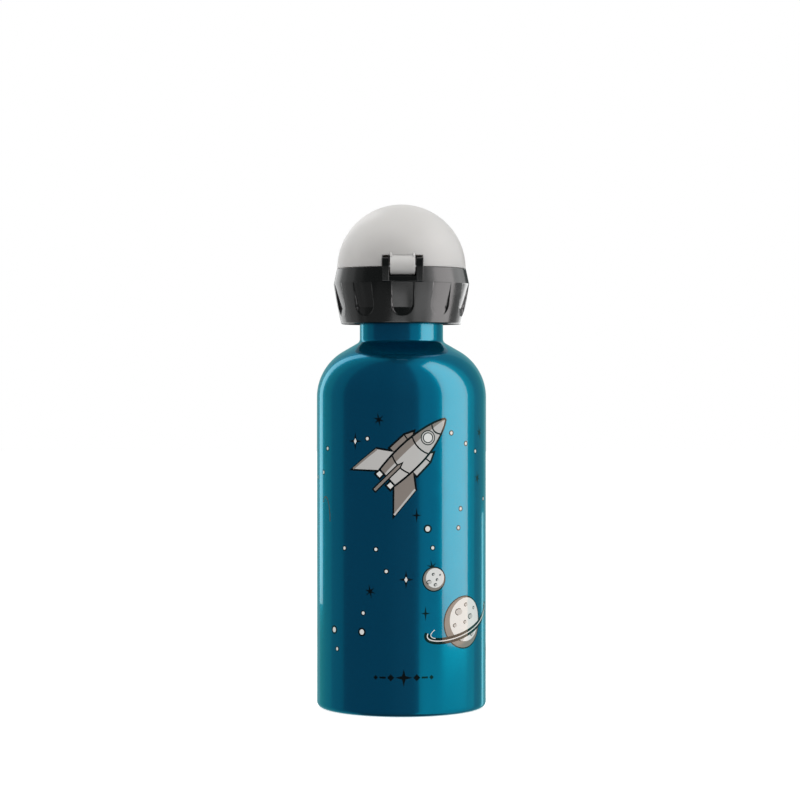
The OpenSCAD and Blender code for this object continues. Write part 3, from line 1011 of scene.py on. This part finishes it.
def build_spout():
    """Push-pull mouthpiece with its soft bite tip."""
    low, top, tip_low_z, tip_top = mouth_low.z, mouth_high.z, tip_low.z, tip_high.z
    skirt_r, lip_r, nozzle_r, hole_r = 10.4, 11.4, 5.2, 2.4
    mouth = lathe("mouthpiece_fine", rounded([
        (8.3, low, 0.2), (skirt_r, low, 0.4), (skirt_r, top - 6.4, 0.5), (lip_r, top - 6.4, 0.7),
        (lip_r, top - 3.8, 0.9), (nozzle_r, top - 3.8, 0.5), (nozzle_r, top, 0), (hole_r, top, 0.2),
        (hole_r, top - 1.4, 0.2), (3.6, top - 1.4, 0.1), (3.6, top - 5, 0.2), (9, top - 5, 0.4),
        (9, low + 1.2, 0), (8.3, low + 1.2, 0.2),
    ], 6), FROSTED)
    tip = lathe("bite_tip_fine", rounded([
        (nozzle_r, tip_low_z, 0), (6.6, tip_low_z, 0.4), (6.3, tip_low_z + 1.8, 0.6), (6.6, tip_top, 1.2),
        (3, tip_top, 0.5), (3, top, 0), (nozzle_r, top, 0),
    ], 6), SILICONE)
    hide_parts("mouthpiece")
    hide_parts("bite_tip")
    for piece in (mouth, tip):
        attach(piece, "spout")


def finish_cad_nodes():
    """Materials for the CAD nodes that stay as they are."""
    looks = {
        "neck_gasket": SILICONE, "hinge_pin": STEEL, "valve_stem": DARK, "stem_seal": SILICONE,
        "tower_o_ring": RUBBER, "vent_valve": SILICONE,
    }
    for name, material in looks.items():
        node = frame["nodes"][name]
        node.data.materials.clear()
        node.data.materials.append(material)


# ---------------------------------------------------------------- the stage

CAMERA_DISTANCE = 892.0
CAMERA_TURN = math.radians(-1.0)
CAMERA_Z = 125.0
CAMERA_AIM = Vector((-0.55, 0.0, 115.85))
CAMERA_LENS = 106
PANEL_REACH = 420.0

WHITE = (1, 1, 1)
TEAL = (0.02, 1.15, 1)
BLUE = (0.02, 1, 1)
# Upright panels: name, azimuths and heights they run between, level, colour.
BOTTLE_PANELS = (
    ("key_right", 53.5, 97.3, -20, 1100, 1.45, (1.75, 1.07, 0.72)),
    ("edge_left", -145, -132, 0, 2600, 0.95, (0.9, 1, 1)),
    ("fill_left_back", -145, -108, -700, 2600, 0.25, TEAL),
    ("fill_left", -108, -83, -700, 2600, 0.17, BLUE),
    ("fill_front", -83, 22, -700, 2600, 0.05, (0.02, 0.8, 1.2)),
    ("fill_right", 22, 97.3, -20, 2600, 0.31, BLUE),
    ("fill_right_low", 22, 97.3, -700, -20, 0.48, TEAL),
    ("fill_right_back", 97.3, 112, -700, 2600, 0.42, TEAL),
    ("fill_back", 112, 148, -700, 2600, 0.22, BLUE),
    ("fill_behind", 148, 215, -700, 2600, 0.3, (0.35, 0.95, 1)),
    ("edge_right", 136, 144, -120, 50, 0.9, (0.6, 1, 1)),
)
CAP_PANELS = (
    ("cap_key", 58, 101, 150, 700, 2.65, (1.04, 1, 1)),
    ("cap_key_low", 58, 100, -200, 150, 2.65, (1.04, 1, 1)),
    ("cap_right", 101, 125, 150, 700, 1.4, WHITE),
    ("cap_right_back", 125, 140, 150, 700, 1.0, WHITE),
    ("cap_right_low", 100, 125, -200, 150, 0.35, WHITE),
    ("cap_edge_right_near", 125, 138, -200, 150, 1.05, WHITE),
    ("cap_edge_right", 138, 168, -200, 150, 2.6, WHITE),
    ("cap_behind", 150, 210, 240, 700, 0.6, WHITE),
    ("cap_edge", -165, -131, -200, 700, 1.45, WHITE),
    ("cap_left_back", -131, -112, -200, 700, 0.55, WHITE),
    ("cap_left", -112, -90, -200, 700, 0.38, WHITE),
    ("cap_left_front", -90, -72, -200, 700, 0.13, WHITE),
    ("cap_front", -72, -12, 150, 700, 0.035, WHITE),
    ("cap_fill", 22, 47, -200, 700, 0.62, WHITE),
    ("cap_fill_right", 47, 58, -200, 700, 1.15, WHITE),
)
# Flat panels: name, place, direction up or down, size, level, colour.
GROUND_PANELS = (
    ("ground_left", (-220, -350, -5), 1, (560, 500), 0.12, WHITE),
    ("ground_near", (-30, -235, -5), 1, (160, 250), 1.05, WHITE),
    ("ground_far", (270, -450, -5), 1, (420, 300), 0.5, WHITE),
)
UNDER_COLLAR_PANELS = (
    ("under_collar", (0, 0, FOOT_Z + 0.7), -1, (40, 40), 0.035, (0.02, 0.95, 1.25)),
    ("under_collar_right", (12, 0, FOOT_Z + 0.7), -1, (16, 40), 0.14, (0.02, 1, 1.7)),
)
# Sky levels by azimuth from the camera side. The diffuse sky also gets lighter with height.
GLOSSY_SKY = ((-180, 0.12), (-125, 0.07), (-90, 0.05), (-20, 0.05), (0, 0.07), (60, 0.07), (180, 0.12))
SKY_RISE, SKY_MIDDLE = 0.55, 0.785
DIFFUSE_SKY = ((-180, 0.95), (-120, 0.92), (-50, 0.9), (0, 1.0), (40, 1.15), (120, 1.15), (180, 0.95))


def build_floor():
    """Pale floor that neither reflects in the bottle nor lights it."""
    bpy.ops.mesh.primitive_plane_add(size=6, location=(0, 0, -0.0002))
    floor = bpy.context.object
    floor.name = "floor"
    material, shader = new_material("pale_floor")[:2]
    shader.inputs["Base Color"].default_value = (0.9, 0.9, 0.9, 1)
    shader.inputs["Roughness"].default_value = 1.0
    shader.inputs["Specular IOR Level"].default_value = 0.0
    shader.inputs["Emission Color"].default_value = (1, 1, 1, 1)
    shader.inputs["Emission Strength"].default_value = 0.75
    floor.data.materials.append(material)
    floor.visible_glossy = False
    floor.visible_diffuse = False


def build_camera():
    """Camera in front of the hinge, level with the upper half."""
    camera = bpy.data.objects.new("camera", bpy.data.cameras.new("camera"))
    bpy.context.scene.collection.objects.link(camera)
    eye = Vector((math.sin(CAMERA_TURN), -math.cos(CAMERA_TURN), 0)) * CAMERA_DISTANCE
    eye.z = CAMERA_Z
    camera.location = eye * MM
    camera.rotation_euler = (CAMERA_AIM - eye).to_track_quat("-Z", "Y").to_euler()
    camera.data.lens = CAMERA_LENS
    camera.data.sensor_width = 36
    camera.data.clip_start = 0.01
    bpy.context.scene.camera = camera


def panel(name, place, target, size, level, colour, receivers):
    """Soft panel seen only in reflections, with its radiance level."""
    data = bpy.data.lights.new(name, "AREA")
    data.shape = "RECTANGLE"
    data.size = size[0] * MM
    data.size_y = size[1] * MM
    data.energy = level * math.pi * size[0] * size[1] * MM * MM
    data.color = colour
    light = bpy.data.objects.new(name, data)
    light.location = place * MM
    light.rotation_euler = (target - place).to_track_quat("-Z", "Y").to_euler()
    light.visible_camera = False
    light.visible_diffuse = False
    light.light_linking.receiver_collection = receivers
    bpy.context.scene.collection.objects.link(light)


def upright(name, start, end, low, high, level, colour, receivers):
    """Upright panel between two azimuths from the camera side."""
    angle = math.radians((start + end) / 2)
    width = 2 * PANEL_REACH * math.tan(math.radians(end - start) / 2)
    place = Vector((PANEL_REACH * math.sin(angle), -PANEL_REACH * math.cos(angle), (low + high) / 2))
    panel(name, place, Vector((0, 0, place.z)), (width, high - low), level, colour, receivers)


def flat(name, place, way, size, level, colour, receivers):
    """Level panel that faces up, or down when way is -1."""
    place = Vector(place)
    panel(name, place, place + Vector((0, 0, 100 * way)), size, level, colour, receivers)


def build_panels():
    """Studio panels: one set for the bottle and its print, one for the rest."""
    bottle_only = bpy.data.collections.new("lit_bottle")
    all_but_bottle = bpy.data.collections.new("lit_cap")
    for piece in bpy.context.scene.objects:
        if piece.name == "bottle" or piece.name.startswith("print_"):
            bottle_only.objects.link(piece)
            all_but_bottle.objects.link(piece)
    for member in all_but_bottle.collection_objects:
        member.light_linking.link_state = "EXCLUDE"
    for row in BOTTLE_PANELS:
        upright(*row, bottle_only)
    for row in CAP_PANELS:
        upright(*row, all_but_bottle)
    for row in GROUND_PANELS:
        flat(*row, all_but_bottle)
    for row in UNDER_COLLAR_PANELS:
        flat(*row, bottle_only)


def build_world():
    """Soft sky: one look for reflections, one for diffuse light, white for the camera."""
    world = bpy.data.worlds.new("studio")
    bpy.context.scene.world = world
    world.use_nodes = True
    tree = world.node_tree
    tree.nodes.clear()
    link = tree.links.new
    place = tree.nodes.new("ShaderNodeTexCoord")
    split = tree.nodes.new("ShaderNodeSeparateXYZ")
    flip = tree.nodes.new("ShaderNodeMath")
    around = tree.nodes.new("ShaderNodeMath")
    unit = tree.nodes.new("ShaderNodeMapRange")
    flip.operation = "MULTIPLY"
    flip.inputs[1].default_value = -1
    around.operation = "ARCTAN2"
    unit.inputs["From Min"].default_value = -math.pi
    unit.inputs["From Max"].default_value = math.pi
    link(place.outputs["Generated"], split.inputs["Vector"])
    link(split.outputs["Y"], flip.inputs[0])
    link(split.outputs["X"], around.inputs[0])
    link(flip.outputs["Value"], around.inputs[1])
    link(around.outputs["Value"], unit.inputs["Value"])

    def around_sky(levels, tint):
        """Background whose level depends on the azimuth from the camera side."""
        ramp = tree.nodes.new("ShaderNodeValToRGB")
        background = tree.nodes.new("ShaderNodeBackground")
        elements = ramp.color_ramp.elements
        for azimuth, level in levels:
            if azimuth == -180:
                element = elements[0]
            elif azimuth == 180:
                element = elements[-1]
            else:
                element = elements.new((azimuth + 180) / 360)
            element.color = tuple(level * part for part in tint) + (1,)
        link(unit.outputs["Result"], ramp.inputs["Fac"])
        link(ramp.outputs["Color"], background.inputs["Color"])
        return background

    glossy = around_sky(GLOSSY_SKY, (0.85, 1.0, 1.0))
    diffuse = around_sky(DIFFUSE_SKY, (1.0, 0.99, 0.975))
    from_above = tree.nodes.new("ShaderNodeMath")
    from_above.operation = "MULTIPLY_ADD"
    from_above.inputs[1].default_value = SKY_RISE
    from_above.inputs[2].default_value = SKY_MIDDLE
    link(split.outputs["Z"], from_above.inputs[0])
    link(from_above.outputs["Value"], diffuse.inputs["Strength"])
    backdrop = tree.nodes.new("ShaderNodeBackground")
    path = tree.nodes.new("ShaderNodeLightPath")
    by_diffuse = tree.nodes.new("ShaderNodeMixShader")
    by_camera = tree.nodes.new("ShaderNodeMixShader")
    output = tree.nodes.new("ShaderNodeOutputWorld")
    backdrop.inputs["Color"].default_value = (1, 1, 1, 1)
    link(path.outputs["Is Diffuse Ray"], by_diffuse.inputs["Fac"])
    link(glossy.outputs["Background"], by_diffuse.inputs[1])
    link(diffuse.outputs["Background"], by_diffuse.inputs[2])
    link(path.outputs["Is Camera Ray"], by_camera.inputs["Fac"])
    link(by_diffuse.outputs["Shader"], by_camera.inputs[1])
    link(backdrop.outputs["Background"], by_camera.inputs[2])
    link(by_camera.outputs["Shader"], output.inputs["Surface"])


build_bottle()
build_print()
build_collar()
build_core()
build_dome()
build_spout()
finish_cad_nodes()
build_floor()
build_camera()
build_panels()
build_world()
bpy.context.scene.view_settings.view_transform = "Standard"
